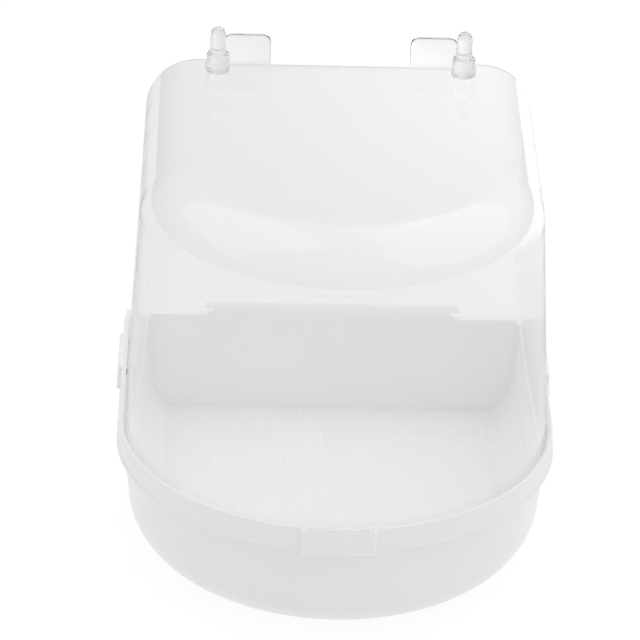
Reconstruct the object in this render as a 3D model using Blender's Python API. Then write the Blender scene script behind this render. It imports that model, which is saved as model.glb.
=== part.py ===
"""Hang-on bird bath for a cage: a white moulded basin, a clear moulded hood and two wire pegs.

The basin is D-shaped in plan: straight sides from a flat back, then a round front.  A wall at its
back carries a curled T hook that goes over the sill wire of the cage door.  A lip runs round the rim
and the hood drops inside it, onto a seat, with three tongues in three pockets.  The hood is open
at the back, where the bird comes in.  Two plates and two pegs on its roof take a cage wire
between them.  Millimetres here, metres in Blender, Z up, the back of the bath towards +Y.
"""

from math import cos, pi, radians, sin, sqrt

import bmesh
import bpy
from mathutils import Matrix

MM = 0.001

# ---------------------------------------------------------------- driving dimensions, millimetres
WIDTH = 140.0               # across the rim, without the pockets
STRAIGHT = 80.0             # straight side, from the back face to the start of the round front
FRONT_REACH = 70.0          # how far the round front stands out in front of the straight sides
ROOF_Z = 133.4              # top face of the hood's roof

BASIN_WALL = 1.8
BACK_WALL = 2.8             # wall at the back, which carries the hook
BACK_WALL_TOP = 39.8
FLOOR_Z = 4.4               # face that the water stands on
FLOOR_THICKNESS = 2.3
FOOT_WIDTH = 4.0            # width of the flat ring that the basin stands on
BOTTOM_ROUND = 19.5         # large rounding between the walls and the underside
BACK_EDGE_ROUND = 3.0       # small rounding along the bottom of the back face
INNER_CORNER = 1.2
BASIN_DRAFT = 0.10          # lean of the basin's walls, sideways over height

RIM_TOP = 43.3
RIM_BOTTOM = 35.1
RIM_STEP = 1.8              # how far the rim stands out from the wall under it
RIM_EASE = 0.5              # easing of the rim's two outer edges
SEAT_DEPTH = 5.0            # from the top of the lip down to the seat
SEAT_INSET = 5.0            # from the outside of the rim to the inner edge of the seat's channel
LIP_RUN_OUT = 8.0           # the lip stops this far from the back face
LIP_RAMP = 5.0              # length of the slope at the end of the lip

HOOD_INSET = 1.9            # from the outside of the rim to the outside of the hood
HOOD_WALL = 1.5
HOOD_SIDE_DRAFT = 0.060     # lean of the hood's sides
HOOD_FRONT_DRAFT = 0.145    # lean of the hood's front
ROOF_ROUND = 17.5           # outside rounding between the roof and the walls
FIT = 0.3                   # clearance wherever two pieces meet

POCKET_LENGTH = 24.5        # snap pockets in the rim: one at the front, one at each side
POCKET_PROUD = 1.7
POCKET_WALL = 1.2
POCKET_END = 2.0            # wall at each end of a pocket
POCKET_CORNER = 1.7
POCKET_FROM_BACK = 35.6     # from the back face to the middle of a side pocket
TONGUE_PROUD = 1.9          # tongues of the hood, which sit in the pockets
TONGUE_HEIGHT = 3.2
TONGUE_PLAY = 0.8           # free length at each end of a tongue

HOOK_NECK = 81.6            # T hook on the back wall: width of the neck, at its middle
HOOK_BAR = 87.6             # width of the bar, at its middle
HOOK_TAPER = 0.28           # lean of the ends
HOOK_EAR_HEIGHT = 2.3       # clear height under the ears
HOOK_CURL = 55.0            # how far the hook curls backwards, in degrees
HOOK_CURL_RADIUS = 2.6      # inside radius of the curl

PLATE_INNER = 22.9          # plates on the roof: inner end, from the middle
PLATE_LENGTH = 15.5
PLATE_HEIGHT = 10.4
PLATE_THICKNESS = 1.8
PLATE_CORNER = 2.8
PLATE_FOOT_ROUND = 1.0
PLATE_LEDGE = 0.2           # the plates stand this far in front of the notch's edge
NOTCH_DEPTH = 3.4           # the roof's back edge steps forward between the plates

PEG_SPACING = 80.4          # between the axes of the two pegs
WIRE_SLOT = 2.2             # clear gap between a peg's foot and its plate
PEG_FOOT = 8.1              # diameters up the peg
PEG_SHOULDER = 7.4
PEG_STEM = 5.4
PEG_HEAD = 5.0
PEG_FOOT_HEIGHT = 6.4
PEG_HEIGHT = 15.8
PEG_SHANK = 3.8             # shank pushed into a hole through the roof

RIB_PITCH = 15.5            # grid of fine anti-slip ribs on the floor
RIB_WIDTH = 0.8
RIB_HEIGHT = 0.4
RIB_EDGE_GAP = 1.5          # ribs end this far inside the flat of the floor
RIB_FIRST = 16.6            # from the back wall to the first rib across

# ---------------------------------------------------------------- fineness of the round shapes
FRONT_STEPS = 56
ROUND_STEPS = 9
CORNER_STEPS = 5
PEG_STEPS = 36

# ---------------------------------------------------------------- sizes that follow from these
RIM_HALF = WIDTH / 2
SEAT_Z = RIM_TOP - SEAT_DEPTH
HOOD_BOTTOM = SEAT_Z + FIT
CHANNEL_INSET = HOOD_INSET - FIT
ROOF_SHOULDER = ROOF_Z - ROOF_ROUND
PLATE_FRONT = -(NOTCH_DEPTH + PLATE_LEDGE)
PLATE_BACK = PLATE_FRONT + PLATE_THICKNESS
PEG_Y = PLATE_FRONT - WIRE_SLOT - PEG_FOOT / 2
FRONT_Y = -(STRAIGHT + FRONT_REACH + POCKET_PROUD)
HOOK_REAR = HOOK_CURL_RADIUS * (1 - cos(radians(HOOK_CURL)))
PLAN_CENTRE_Y = (FRONT_Y + HOOK_REAR) / 2
OVERSHOOT = 6.0             # cutters run this far past the faces that they open

MATERIALS = {
    "white_polypropylene": {
        "color": (0.83, 0.835, 0.835, 1.0),
        "roughness": 0.38,
        "alpha": 1.0,
        "clear": 0.0,
        "ior": 1.49,
    },
    "clear_polystyrene": {
        "color": (0.93, 0.945, 0.95, 1.0),
        "roughness": 0.06,
        "alpha": 0.3,
        "clear": 1.0,
        "ior": 1.59,
    },
    "clear_peg_polystyrene": {
        "color": (0.90, 0.92, 0.925, 1.0),
        "roughness": 0.08,
        "alpha": 0.4,
        "clear": 1.0,
        "ior": 1.59,
    },
}


# ---------------------------------------------------------------- plan outlines
def front_arc(half_width, reach):
    """Points of the round front, from the right side to the left, as a half ellipse."""
    angles = [pi * i / FRONT_STEPS for i in range(FRONT_STEPS + 1)]
    return [(half_width * cos(a), -STRAIGHT - reach * sin(a)) for a in angles]


def d_outline(inset, front_inset, back_y):
    """D-shaped outline, a distance inside the rim's outside."""
    half_width = RIM_HALF - inset
    points = [(half_width, back_y)]
    points += front_arc(half_width, FRONT_REACH - front_inset)
    points.append((-half_width, back_y))
    return points


def d_outline_round_back(inset, front_inset, back_y, radius):
    """The same outline with its two corners at the back rounded."""
    half_width = RIM_HALF - inset
    arc = []
    for i in range(CORNER_STEPS + 1):
        a = pi / 2 * i / CORNER_STEPS
        arc.append((half_width - radius * (1 - sin(a)), back_y - radius * (1 - cos(a))))
    right = arc
    left = [(-x, y) for x, y in reversed(arc)]
    return right + front_arc(half_width, FRONT_REACH - front_inset) + left


def rounded_rectangle(x0, x1, y0, y1, radius):
    """Corner-rounded rectangle, counter-clockwise."""
    points = []
    corners = ((x1, y0, -90), (x1, y1, 0), (x0, y1, 90), (x0, y0, 180))
    for cx, cy, start in corners:
        ox = cx - radius if cx == x1 else cx + radius
        oy = cy - radius if cy == y1 else cy + radius
        for i in range(CORNER_STEPS + 1):
            a = radians(start + 90 * i / CORNER_STEPS)
            points.append((ox + radius * cos(a), oy + radius * sin(a)))
    return points


# ---------------------------------------------------------------- mesh builders
def new_object(name, bm):
    """Turn a bmesh in millimetres into an object, facing out and set over the origin."""
    bmesh.ops.recalc_face_normals(bm, faces=bm.faces)
    bmesh.ops.transform(bm, matrix=Matrix.Scale(MM, 4), verts=bm.verts)
    mesh = bpy.data.meshes.new(name)
    bm.to_mesh(mesh)
    bm.free()
    obj = bpy.data.objects.new(name, mesh)
    bpy.context.scene.collection.objects.link(obj)
    return obj


def loft(name, sections):
    """Closed solid through sections that have the same number of points: [(outline, z), ...]."""
    bm = bmesh.new()
    rings = []
    for outline, z in sections:
        rings.append([bm.verts.new((x, y, z)) for x, y in outline])
    count = len(rings[0])
    for low, high in zip(rings, rings[1:]):
        for i in range(count):
            j = (i + 1) % count
            bm.faces.new((low[i], low[j], high[j], high[i]))
    bm.faces.new(rings[0])
    bm.faces.new(rings[-1])
    return new_object(name, bm)


def prism(name, outline, low, high, axis="Z"):
    """Outline extruded along one axis; the outline's own axes are the two others, in order."""
    bm = bmesh.new()
    place = {
        "X": lambda u, v: (low, u, v),
        "Y": lambda u, v: (u, low, v),
        "Z": lambda u, v: (u, v, low),
    }[axis]
    step = {"X": (high - low, 0, 0), "Y": (0, high - low, 0), "Z": (0, 0, high - low)}[axis]
    face = bm.faces.new([bm.verts.new(place(u, v)) for u, v in outline])
    grown = bmesh.ops.extrude_face_region(bm, geom=[face])
    moved = [item for item in grown["geom"] if isinstance(item, bmesh.types.BMVert)]
    bmesh.ops.translate(bm, verts=moved, vec=step)
    return new_object(name, bm)


def revolve(name, profile, steps):
    """Solid of revolution round Z from (radius, z) points that start and end on the axis."""
    bm = bmesh.new()
    verts = [bm.verts.new((r, 0, z)) for r, z in profile]
    edges = [bm.edges.new(pair) for pair in zip(verts, verts[1:])]
    bmesh.ops.spin(bm, geom=verts + edges, cent=(0, 0, 0), axis=(0, 0, 1), angle=2 * pi, steps=steps)
    bmesh.ops.remove_doubles(bm, verts=bm.verts, dist=0.001)
    return new_object(name, bm)


def combine(target, tool, operation):
    """Join, cut or clip the target with the tool, which is used up."""
    modifier = target.modifiers.new(operation.lower(), "BOOLEAN")
    modifier.operation = operation
    modifier.solver = "EXACT"
    modifier.object = tool
    depsgraph = bpy.context.evaluated_depsgraph_get()
    result = bpy.data.meshes.new_from_object(target.evaluated_get(depsgraph))
    target.modifiers.clear()
    target.data = result
    bpy.data.objects.remove(tool)
    return target


def copy_turned(obj, name, angle, x, y):
    """A copy turned about Z and set down at a place in plan."""
    twin = bpy.data.objects.new(name, obj.data.copy())
    twin.data.transform(Matrix.Translation((x * MM, y * MM, 0)) @ Matrix.Rotation(angle, 4, "Z"))
    bpy.context.scene.collection.objects.link(twin)
    return twin


# ---------------------------------------------------------------- the three pocket places
def pocket_places():
    """Outer middle of the rim at each pocket, with the turn that takes -Y to its outside."""
    side_y = -POCKET_FROM_BACK
    return (
        ("front", 0.0, -(STRAIGHT + FRONT_REACH), 0.0),
        ("right", RIM_HALF, side_y, pi / 2),
        ("left", -RIM_HALF, side_y, -pi / 2),
    )


# ---------------------------------------------------------------- basin
def basin_inset(z, rounding):
    """Inset of the basin's surface at a height, for the outer or the inner rounding."""
    leaned = RIM_STEP + (RIM_BOTTOM - max(z, BOTTOM_ROUND)) * BASIN_DRAFT
    offset = BOTTOM_ROUND - rounding
    drop = max(0.0, BOTTOM_ROUND - z)
    return leaned + offset + rounding - sqrt(rounding ** 2 - min(drop, rounding) ** 2)


def basin_outer():
    """Body under the rim, from the flat foot through the large rounding to the walls."""
    sections = []
    for i in range(ROUND_STEPS + 1):
        z = BOTTOM_ROUND * (1 - cos(pi / 2 * i / ROUND_STEPS))
        inset = basin_inset(z, BOTTOM_ROUND)
        drop = max(0.0, BACK_EDGE_ROUND - z)
        back = sqrt(BACK_EDGE_ROUND ** 2 - drop ** 2) - BACK_EDGE_ROUND
        sections.append((d_outline(inset, inset, back), z))
    top = RIM_BOTTOM + (RIM_TOP - RIM_BOTTOM) / 2
    sections.append((d_outline(RIM_STEP, RIM_STEP, 0.0), top))
    return loft("basin_outer", sections)


def basin_cavity():
    """Room for the water: walls parallel to the outside, cut off by the flat floor."""
    rounding = BOTTOM_ROUND - BASIN_WALL
    start = FLOOR_Z
    sections = []
    for i in range(ROUND_STEPS + 1):
        z = start + (BOTTOM_ROUND - start) * i / ROUND_STEPS
        inset = basin_inset(z, rounding)
        sections.append((d_outline_round_back(inset, inset, -BACK_WALL, INNER_CORNER), z))
    inset = basin_inset(RIM_BOTTOM, rounding)
    for z in (RIM_BOTTOM, RIM_TOP + OVERSHOOT):
        sections.append((d_outline_round_back(inset, inset, -BACK_WALL, INNER_CORNER), z))
    return loft("basin_cavity", sections)


def seat_channel():
    """Channel behind the lip for the hood's lower edge, running out at the back."""
    outer = d_outline(CHANNEL_INSET, CHANNEL_INSET, OVERSHOOT)
    inner = d_outline(SEAT_INSET, SEAT_INSET, OVERSHOOT)
    return prism("seat_channel", outer + inner[::-1], SEAT_Z, RIM_TOP + OVERSHOOT)


def above_back_wall():
    """Everything over the back wall's top, inside the lip."""
    outline = d_outline(SEAT_INSET - FIT, SEAT_INSET - FIT, OVERSHOOT)
    return prism("above_back_wall", outline, BACK_WALL_TOP, RIM_TOP + OVERSHOOT)


def lip_ends():
    """The lip slopes down to the back wall's height before it reaches the back face."""
    outline = [
        (-LIP_RUN_OUT - LIP_RAMP, RIM_TOP + OVERSHOOT),
        (-LIP_RUN_OUT - LIP_RAMP, RIM_TOP),
        (-LIP_RUN_OUT, BACK_WALL_TOP),
        (OVERSHOOT, BACK_WALL_TOP),
        (OVERSHOOT, RIM_TOP + OVERSHOOT),
    ]
    return prism("lip_ends", outline, -WIDTH, WIDTH, "X")


def rim_band():
    """Rim that stands out round the body, with its two outer edges eased."""
    levels = (
        (RIM_BOTTOM, RIM_EASE),
        (RIM_BOTTOM + RIM_EASE, 0.0),
        (RIM_TOP - RIM_EASE, 0.0),
        (RIM_TOP, RIM_EASE),
    )
    return loft("rim", [(d_outline(inset, inset, 0.0), z) for z, inset in levels])


def pocket_block(name, half_length, proud, depth, low, high, corner):
    """Block whose outside is proud of the rim at the origin and which reaches inwards."""
    outline = rounded_rectangle(-half_length, half_length, -proud, depth, corner)
    return prism(name, outline, low, high)


def add_pockets(basin):
    """Three bulges on the rim, each hollowed out behind its own wall."""
    half = POCKET_LENGTH / 2
    hollow = half - POCKET_END
    reach = SEAT_INSET - FIT
    for name, x, y, turn in pocket_places():
        bulge = pocket_block("bulge", half, POCKET_PROUD, HOOD_INSET, RIM_BOTTOM, RIM_TOP, POCKET_CORNER)
        combine(basin, copy_turned(bulge, name, turn, x, y), "UNION")
        bpy.data.objects.remove(bulge)
    for name, x, y, turn in pocket_places():
        proud = POCKET_PROUD - POCKET_WALL
        room = pocket_block("room", hollow, proud, reach, SEAT_Z, RIM_TOP + OVERSHOOT, POCKET_CORNER / 2)
        combine(basin, copy_turned(room, name, turn, x, y), "DIFFERENCE")
        bpy.data.objects.remove(room)


def hook_curl():
    """Side view of the hook: the back wall's thickness curling backwards over its top."""
    inner = HOOK_CURL_RADIUS
    outer = HOOK_CURL_RADIUS + BACK_WALL
    angles = [radians(HOOK_CURL) * i / ROUND_STEPS for i in range(ROUND_STEPS + 1)]
    front = [(inner - outer * cos(a), BACK_WALL_TOP + outer * sin(a)) for a in angles]
    rear = [(inner - inner * cos(a), BACK_WALL_TOP + inner * sin(a)) for a in reversed(angles)]
    root = BACK_WALL_TOP - BACK_WALL
    return [(-BACK_WALL, root)] + front + rear + [(0.0, root)]


def hook_face():
    """Front view of the hook: a T whose ends lean inwards and whose top corners are eased."""
    rise = (HOOK_CURL_RADIUS + BACK_WALL) * sin(radians(HOOK_CURL))
    root = BACK_WALL_TOP - BACK_WALL
    ear = BACK_WALL_TOP + HOOK_EAR_HEIGHT
    top = BACK_WALL_TOP + rise
    neck = HOOK_NECK / 2
    bar = HOOK_BAR / 2
    lean = HOOK_TAPER * HOOK_EAR_HEIGHT / 2
    ease = (top - ear) / 3
    right = [
        (neck + lean, root),
        (neck + lean, BACK_WALL_TOP),
        (neck - lean, ear),
        (bar + lean, ear),
        (bar - lean, top - ease),
        (bar - lean - ease, top),
        (bar - lean - ease, top + OVERSHOOT),
    ]
    return right + [(-x, z) for x, z in reversed(right)]


def back_hook():
    """T hook: its side view along the width, clipped to its front view."""
    hook = prism("hook", hook_curl(), -WIDTH / 2, WIDTH / 2, "X")
    face = prism("hook_face", hook_face(), -BACK_WALL - OVERSHOOT, HOOK_CURL_RADIUS + OVERSHOOT, "Y")
    return combine(hook, face, "INTERSECT")


def underside_recess():
    """Shallow recess that leaves the flat foot ring."""
    inset = basin_inset(0.0, BOTTOM_ROUND) + FOOT_WIDTH
    back = -BACK_EDGE_ROUND - FOOT_WIDTH
    outline = d_outline(inset, inset, back)
    return prism("underside_recess", outline, -OVERSHOOT, FLOOR_Z - FLOOR_THICKNESS)


def rib_bars(name, places, along_x):
    """Parallel bars through the floor, all one height."""
    bm = bmesh.new()
    half = RIB_WIDTH / 2
    low = FLOOR_Z - RIB_HEIGHT
    high = FLOOR_Z + RIB_HEIGHT
    span_x = (-RIM_HALF, RIM_HALF)
    span_y = (-STRAIGHT - FRONT_REACH, 0.0)
    for place in places:
        x0, x1 = span_x if along_x else (place - half, place + half)
        y0, y1 = (place - half, place + half) if along_x else span_y
        size = Matrix.Diagonal((x1 - x0, y1 - y0, high - low, 1.0))
        centre = Matrix.Translation(((x0 + x1) / 2, (y0 + y1) / 2, (low + high) / 2))
        bmesh.ops.create_cube(bm, size=1.0, matrix=centre @ size)
    return new_object(name, bm)


def floor_ribs():
    """Square grid of ribs, clipped to the flat of the floor."""
    inset = basin_inset(FLOOR_Z, BOTTOM_ROUND - BASIN_WALL) + RIB_EDGE_GAP
    back = -BACK_WALL - RIB_EDGE_GAP
    across = int((RIM_HALF - inset) / RIB_PITCH)
    lengthwise = [RIB_PITCH * i for i in range(-across, across + 1)]
    first = -BACK_WALL - RIB_FIRST
    front = -STRAIGHT - FRONT_REACH + inset
    crosswise = [first - RIB_PITCH * i for i in range(int((first - front) / RIB_PITCH) + 1)]
    ribs = combine(rib_bars("ribs", lengthwise, False), rib_bars("cross_ribs", crosswise, True), "UNION")
    flat = prism("floor_flat", d_outline(inset, inset, back), 0.0, FLOOR_Z * 2)
    return combine(ribs, flat, "INTERSECT")


def build_basin():
    """Basin: body, rim, pockets, room for the water, seat, hook and floor grid."""
    basin = basin_outer()
    combine(basin, rim_band(), "UNION")
    add_pockets(basin)
    combine(basin, basin_cavity(), "DIFFERENCE")
    combine(basin, seat_channel(), "DIFFERENCE")
    combine(basin, above_back_wall(), "DIFFERENCE")
    combine(basin, lip_ends(), "DIFFERENCE")
    combine(basin, underside_recess(), "DIFFERENCE")
    combine(basin, back_hook(), "UNION")
    combine(basin, floor_ribs(), "UNION")
    return finish(basin, "basin_tray", "white_polypropylene", 32.0)


# ---------------------------------------------------------------- hood
def hood_insets(z, extra):
    """Inset of the hood's side and front at a height, with the draft starting at the rim."""
    climb = min(max(0.0, z - RIM_TOP), ROOF_SHOULDER - RIM_TOP)
    side = HOOD_INSET + climb * HOOD_SIDE_DRAFT + extra
    front = HOOD_INSET + climb * HOOD_FRONT_DRAFT + extra
    return side, front


def hood_solid(name, wall, bottom, back):
    """Solid under the hood's outer face, or under its inner face where wall is its thickness."""
    radius = ROOF_ROUND - wall
    levels = [(bottom, wall), (RIM_TOP, wall)]
    for i in range(ROUND_STEPS + 1):
        a = pi / 2 * i / ROUND_STEPS
        levels.append((ROOF_SHOULDER + radius * sin(a), wall + radius * (1 - cos(a))))
    sections = []
    for z, extra in levels:
        side, front = hood_insets(z, extra)
        sections.append((d_outline(side, front, back), z))
    return loft(name, sections)


def roof_notch():
    """Step in the roof's back edge: flush with the plates, and deeper between them."""
    outer = PLATE_INNER + PLATE_LENGTH
    inner = PLATE_INNER
    outline = [
        (outer, OVERSHOOT),
        (-outer, OVERSHOOT),
        (-outer, PLATE_BACK),
        (-inner, PLATE_BACK),
        (-inner, -NOTCH_DEPTH),
        (inner, -NOTCH_DEPTH),
        (inner, PLATE_BACK),
        (outer, PLATE_BACK),
    ]
    return prism("roof_notch", outline, ROOF_Z - ROOF_ROUND, ROOF_Z + OVERSHOOT)


def plate_profile():
    """Side view of a plate, with the rounding at its front foot."""
    root = ROOF_Z - HOOD_WALL / 2
    top = ROOF_Z + PLATE_HEIGHT
    radius = PLATE_FOOT_ROUND
    foot = []
    for i in range(CORNER_STEPS + 1):
        a = pi / 2 * i / CORNER_STEPS
        foot.append((PLATE_FRONT - radius * (1 - sin(a)), ROOF_Z + radius * (1 - cos(a))))
    back = [(PLATE_BACK, root), (PLATE_BACK, top), (PLATE_FRONT, top)]
    return back + foot[::-1] + [(PLATE_FRONT - radius, root)]


def add_plate(hood, side):
    """Upstanding plate with rounded top corners on the roof's back edge."""
    x0 = PLATE_INNER * side
    x1 = (PLATE_INNER + PLATE_LENGTH) * side
    low = ROOF_Z - HOOD_WALL - PLATE_CORNER
    outline = rounded_rectangle(min(x0, x1), max(x0, x1), low, ROOF_Z + PLATE_HEIGHT, PLATE_CORNER)
    face = prism("plate_face", outline, PEG_Y, OVERSHOOT, "Y")
    plate = prism("plate", plate_profile(), min(x0, x1) - 1.0, max(x0, x1) + 1.0, "X")
    combine(plate, face, "INTERSECT")
    combine(hood, plate, "UNION")


def add_tongues(hood):
    """Wedge-shaped tongues on the hood's lower edge, one in each pocket."""
    half = POCKET_LENGTH / 2 - POCKET_END - TONGUE_PLAY
    face = HOOD_INSET - TONGUE_PROUD
    root = HOOD_INSET + HOOD_WALL / 2
    profile = [
        (root, HOOD_BOTTOM),
        (face, HOOD_BOTTOM),
        (face, HOOD_BOTTOM + TONGUE_HEIGHT / 2),
        (HOOD_INSET - FIT, HOOD_BOTTOM + TONGUE_HEIGHT),
        (root, HOOD_BOTTOM + TONGUE_HEIGHT),
    ]
    for name, x, y, turn in pocket_places():
        wedge = prism("wedge", profile, -half, half, "X")
        combine(hood, copy_turned(wedge, name, turn, x, y), "UNION")
        bpy.data.objects.remove(wedge)


def peg_places():
    """Axes of the two pegs in plan."""
    return (("left_wire_peg", -PEG_SPACING / 2), ("right_wire_peg", PEG_SPACING / 2))


def build_hood():
    """Clear hood: drafted shell with a round shoulder, open below and at the back."""
    hood = hood_solid("hood", 0.0, HOOD_BOTTOM, 0.0)
    combine(hood, hood_solid("hood_room", HOOD_WALL, HOOD_BOTTOM - OVERSHOOT, OVERSHOOT), "DIFFERENCE")
    combine(hood, roof_notch(), "DIFFERENCE")
    for side in (-1, 1):
        add_plate(hood, side)
    add_tongues(hood)
    for name, x in peg_places():
        radius = PEG_SHANK / 2 + FIT
        low = ROOF_Z - HOOD_WALL - 1.0
        high = ROOF_Z + 1.0
        bore = revolve(name, [(0, low), (radius, low), (radius, high), (0, high)], PEG_STEPS)
        bore.data.transform(Matrix.Translation((x * MM, PEG_Y * MM, 0)))
        combine(hood, bore, "DIFFERENCE")
    return finish(hood, "clear_hood", "clear_polystyrene", 32.0)


# ---------------------------------------------------------------- pegs
def peg_profile():
    """Half section of a peg, with the roof's top face at zero."""
    head_radius = PEG_HEAD / 2
    crown = PEG_HEIGHT - head_radius
    points = [
        (0, -HOOD_WALL),
        (PEG_SHANK / 2, -HOOD_WALL),
        (PEG_SHANK / 2, FIT),
        (PEG_FOOT / 2, FIT),
        (PEG_SHOULDER / 2, PEG_FOOT_HEIGHT),
        (PEG_STEM / 2, PEG_FOOT_HEIGHT + (PEG_SHOULDER - PEG_STEM) / 2),
        (head_radius, crown),
    ]
    for i in range(1, ROUND_STEPS):
        a = pi / 2 * i / ROUND_STEPS
        points.append((head_radius * cos(a), crown + head_radius * sin(a)))
    points.append((0, PEG_HEIGHT))
    return points


def build_peg(name, x):
    """Peg with a wide foot, a tapered stem and a domed head, on a shank through the roof."""
    peg = revolve(name, peg_profile(), PEG_STEPS)
    peg.data.transform(Matrix.Translation((x * MM, PEG_Y * MM, ROOF_Z * MM)))
    return finish(peg, name, "clear_peg_polystyrene", 40.0)


# ---------------------------------------------------------------- finishing
def make_material(name):
    """Principled material from the table of materials."""
    values = MATERIALS[name]
    material = bpy.data.materials.new(name)
    material.use_nodes = True
    shader = material.node_tree.nodes["Principled BSDF"]
    shader.inputs["Base Color"].default_value = values["color"]
    shader.inputs["Roughness"].default_value = values["roughness"]
    shader.inputs["Metallic"].default_value = 0.0
    shader.inputs["Alpha"].default_value = values["alpha"]
    shader.inputs["Transmission Weight"].default_value = values["clear"]
    shader.inputs["IOR"].default_value = values["ior"]
    return material


def finish(obj, name, material, smooth_angle):
    """Centre the piece over the whole bath's footprint, clean it, name it and shade it."""
    obj.name = name
    obj.data.name = name
    obj.data.transform(Matrix.Translation((0, -PLAN_CENTRE_Y * MM, 0)))
    bm = bmesh.new()
    bm.from_mesh(obj.data)
    bmesh.ops.remove_doubles(bm, verts=bm.verts, dist=0.000002)
    bmesh.ops.dissolve_degenerate(bm, edges=bm.edges, dist=0.000002)
    bmesh.ops.triangulate(bm, faces=[f for f in bm.faces if len(f.verts) > 4])
    bmesh.ops.recalc_face_normals(bm, faces=bm.faces)
    bm.to_mesh(obj.data)
    bm.free()
    obj.data.materials.clear()
    obj.data.materials.append(make_material(material))
    obj.data.shade_smooth()
    obj.data.set_sharp_from_angle(angle=radians(smooth_angle))
    return obj


def main():
    """Build the whole bath."""
    for obj in list(bpy.data.objects):
        bpy.data.objects.remove(obj)
    build_basin()
    build_hood()
    for name, x in peg_places():
        build_peg(name, x)


main()
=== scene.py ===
# %% [markdown]
# # A hang-on bird bath for a cage
#
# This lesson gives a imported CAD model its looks. The bath is a white D-shaped basin under a clear
# hood, with two clear pegs on the roof. Nearly everything on it is white or clear, so its edges,
# its roundings and the light do the work that colour does on other objects.

# %% The fixed frame
import bpy
import bmesh
from math import cos, pi, radians, sin, sqrt, tan
from mathutils import Matrix, Vector


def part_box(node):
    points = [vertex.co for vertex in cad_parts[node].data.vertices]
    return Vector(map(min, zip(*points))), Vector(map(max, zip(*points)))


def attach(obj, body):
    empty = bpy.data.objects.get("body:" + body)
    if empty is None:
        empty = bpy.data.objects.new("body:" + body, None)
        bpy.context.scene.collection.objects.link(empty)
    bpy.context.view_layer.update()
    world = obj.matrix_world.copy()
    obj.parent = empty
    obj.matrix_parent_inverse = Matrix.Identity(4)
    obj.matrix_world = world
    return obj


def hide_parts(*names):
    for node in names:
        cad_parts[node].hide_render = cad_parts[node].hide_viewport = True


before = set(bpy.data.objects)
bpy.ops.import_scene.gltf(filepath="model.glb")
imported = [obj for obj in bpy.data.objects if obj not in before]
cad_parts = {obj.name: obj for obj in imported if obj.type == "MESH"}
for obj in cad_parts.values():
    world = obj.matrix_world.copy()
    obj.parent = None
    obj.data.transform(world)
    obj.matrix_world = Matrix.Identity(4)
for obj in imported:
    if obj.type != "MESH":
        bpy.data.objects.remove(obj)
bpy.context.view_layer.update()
MM = 0.001

# %% [markdown]
# ## The camera
#
# A long lens from well above the rim shows the floor of the basin through the hood. The bath is
# small and the lens is long, so its sides run almost parallel. The camera leans over slightly, as
# one held by hand does.

# %% Camera
AIM = Vector((-5.65, 10.70, 70.98)) * MM
AZIMUTH = radians(-1.51)
ELEVATION = radians(27.86)
LEAN = radians(1.80)
DISTANCE = 1322.9 * MM
LENS = 230.7


def add_camera():
    """A camera that looks at AIM from its azimuth and elevation, leaning by LEAN."""
    back = Vector((sin(AZIMUTH) * cos(ELEVATION), -cos(AZIMUTH) * cos(ELEVATION), sin(ELEVATION)))
    right = (-back).cross(Vector((0, 0, 1))).normalized()
    up = right.cross(-back)
    leaning_right = right * cos(LEAN) + up * sin(LEAN)
    leaning_up = up * cos(LEAN) - right * sin(LEAN)
    camera = bpy.data.objects.new("camera", bpy.data.cameras.new("camera"))
    camera.data.sensor_width = 36
    camera.data.lens = LENS
    camera.data.clip_start = 0.01
    place = Matrix((leaning_right, leaning_up, back)).transposed().to_4x4()
    place.translation = AIM + back * DISTANCE
    camera.matrix_world = place
    bpy.context.scene.collection.objects.link(camera)
    bpy.context.scene.camera = camera
    return camera


camera = add_camera()
bpy.context.scene.view_settings.view_transform = "Standard"
print("camera at", [round(c, 3) for c in camera.matrix_world.translation])

# %% [markdown]
# ## Colours, nodes and objects
#
# A maker picks colours in sRGB, and a renderer adds up light, which is linear. One function turns
# the first into the second. Another adds a node with its settings and its links, so that a
# material reads from top to bottom. The last one puts a mesh into the scene.

# %% Helpers
def linear(hex_colour):
    """Linear RGBA from an sRGB hex string."""
    parts = [int(hex_colour[i:i + 2], 16) / 255 for i in (0, 2, 4)]
    return (*[c / 12.92 if c <= 0.04045 else ((c + 0.055) / 1.055) ** 2.4 for c in parts], 1.0)


def node(tree, kind, links=None, **settings):
    """One node with its settings, and a value or a link for each of its inputs that is named."""
    made = tree.nodes.new(kind)
    for key, value in settings.items():
        setattr(made, key, value)
    for socket, value in (links or {}).items():
        if isinstance(value, bpy.types.NodeSocket):
            tree.links.new(value, made.inputs[socket])
        else:
            made.inputs[socket].default_value = value
    return made


def fresh_material(name):
    """An empty node material and its tree."""
    material = bpy.data.materials.new(name)
    material.use_nodes = True
    material.node_tree.nodes.clear()
    return material, material.node_tree


def add_object(name, bm):
    """An object in the scene from a bmesh, which is used up."""
    mesh = bpy.data.meshes.new(name)
    bm.to_mesh(mesh)
    bm.free()
    obj = bpy.data.objects.new(name, mesh)
    bpy.context.scene.collection.objects.link(obj)
    return obj


print("mid grey in linear light:", round(linear("808080")[0], 3))

# %% [markdown]
# ## The light tent
#
# White and clear plastic are photographed in a tent of white cloth: light comes from every side,
# and nearly nothing is dark. The world stands in for the cloth. It lights the bath at a plain
# level. Rays from the camera, straight or through the clear hood, see it as pure white paper. Rays
# that a clear part has mirrored on their way see the cloth as it is.

# %% The tent's cloth
TENT = 0.33                  # cloth all round, before what follows
TENT_TOP = 0.44              # what the cloth overhead adds
TENT_RIGHT = 0.085           # what the cloth on the right adds
TENT_REACH = 0.9             # how far to each side the cloth goes on changing; 1 is straight there


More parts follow.
